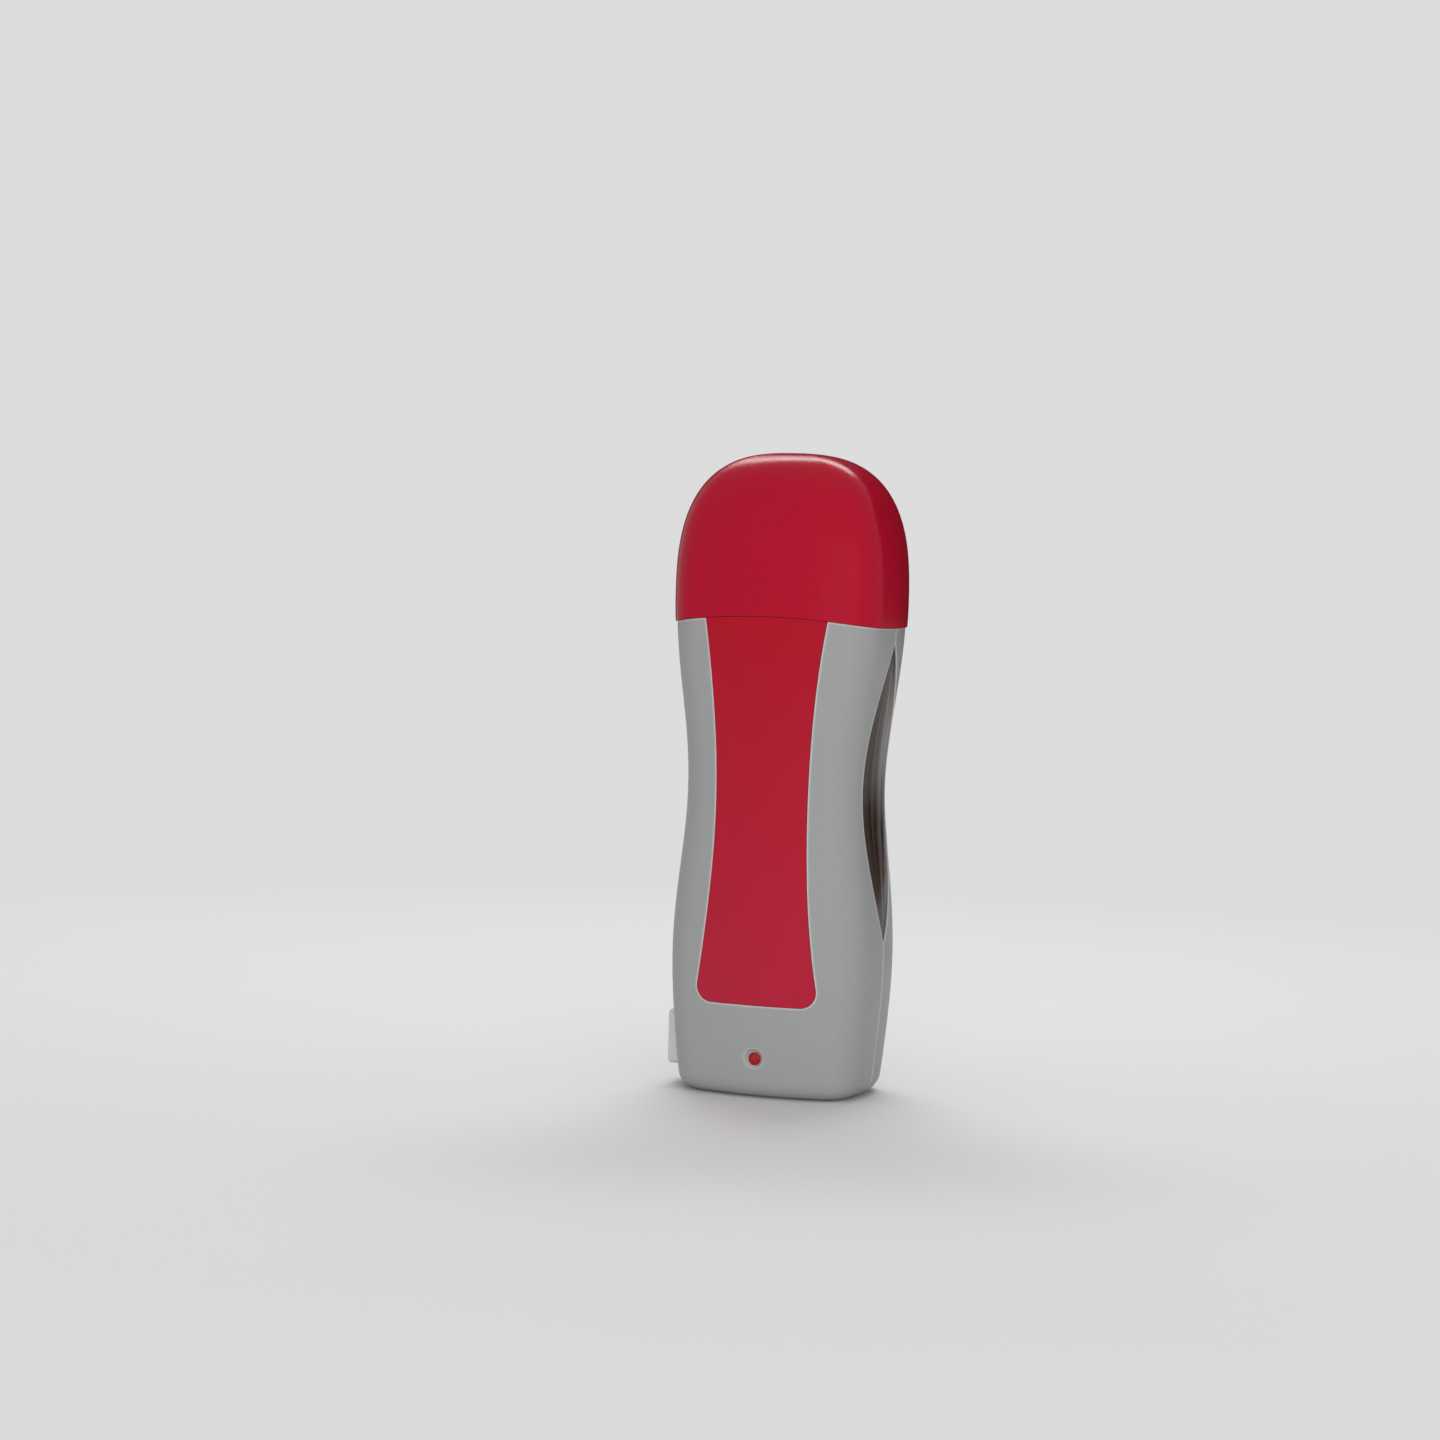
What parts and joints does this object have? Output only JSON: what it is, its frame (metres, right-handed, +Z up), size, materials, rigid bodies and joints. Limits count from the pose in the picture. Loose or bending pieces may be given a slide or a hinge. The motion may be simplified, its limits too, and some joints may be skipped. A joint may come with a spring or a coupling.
{
  "type": "roll on wax heater",
  "caption": "Waisted two-shell heater with a domed slide-off cap, red front inlay, smoked side window, pin inlet and a lift-out wax cartridge with a turning roller.",
  "frame": {"origin": "centre of the footprint on the surface the heater stands on", "axes": "+Z up, -Y towards the front with the red inlay, +X towards the viewing window"},
  "size_m": [0.0722, 0.0523, 0.2025],
  "materials": {
    "shell_grey": "satin moulded grey plastic with a fine texture",
    "cap_red": "deep red moulded plastic, glossy",
    "inlay_red": "deep red moulded plastic, semi-gloss",
    "smoked_window": "smoked clear plastic, polished",
    "lens_red": "clear red plastic, polished",
    "well_plastic": "dark heat-resistant moulded plastic",
    "heater_aluminium": "brushed sheet",
    "heater_ceramic": "unglazed white ceramic",
    "mica": "pressed insulating sheet, matt",
    "spring_steel": "rolled spring strip",
    "fuse_case": "drawn can",
    "board_green": "coated glass-fibre board",
    "component_black": "moulded component cases",
    "led_body": "diffused red lamp body",
    "inlet_plastic": "light grey moulded plastic",
    "pin_metal": "plated round pins",
    "lead_brown": "brown lead insulation",
    "lead_blue": "blue lead insulation",
    "lead_white": "white heat-resistant sleeve",
    "screw_steel": "plated screws",
    "cartridge_dark": "dark grey moulded plastic",
    "head_grey": "light grey moulded plastic",
    "roller_white": "smooth white moulded plastic",
    "wax": "solid honey-coloured wax"
  },
  "bodies": {
    "heater_body": {"front_shell": "shell_grey", "rear_shell": "shell_grey", "front_inlay": "inlay_red", "side_window": "smoked_window", "cartridge_well": "well_plastic", "front_heater_plate": "heater_aluminium", "rear_heater_plate": "heater_aluminium", "front_ceramic_heater": "heater_ceramic", "rear_ceramic_heater": "heater_ceramic", "front_mica_sheet": "mica", "rear_mica_sheet": "mica", "front_leaf_spring": "spring_steel", "rear_leaf_spring": "spring_steel", "thermal_fuse": "fuse_case", "control_board": "board_green", "board_components": "component_black", "indicator_led": "led_body", "indicator_lens": "lens_red", "inlet_housing": "inlet_plastic", "inlet_pins": "pin_metal", "inlet_lead_live": "lead_brown", "inlet_lead_neutral": "lead_blue", "heater_lead_front": "lead_white", "heater_lead_rear": "lead_white", "case_screws": "screw_steel"},
    "cartridge": {"cartridge_body": "cartridge_dark", "cartridge_head": "head_grey", "wax_fill": "wax"},
    "roller": {"roller": "roller_white"},
    "cap": {"cap": "cap_red"}
  },
  "joints": [
    {"name": "cartridge_lift", "type": "slide", "parent": "heater_body", "child": "cartridge", "axis": [0, 0, 1], "range_m": [0, 0.12]},
    {"name": "roller_spin", "type": "hinge", "parent": "cartridge", "child": "roller", "pos_m": [0, 0, 0.1754], "axis": [1, 0, 0], "continuous": true},
    {"name": "cap_lift", "type": "slide", "parent": "cartridge", "child": "cap", "axis": [0, 0, 1], "range_m": [0, 0.06]}
  ]
}
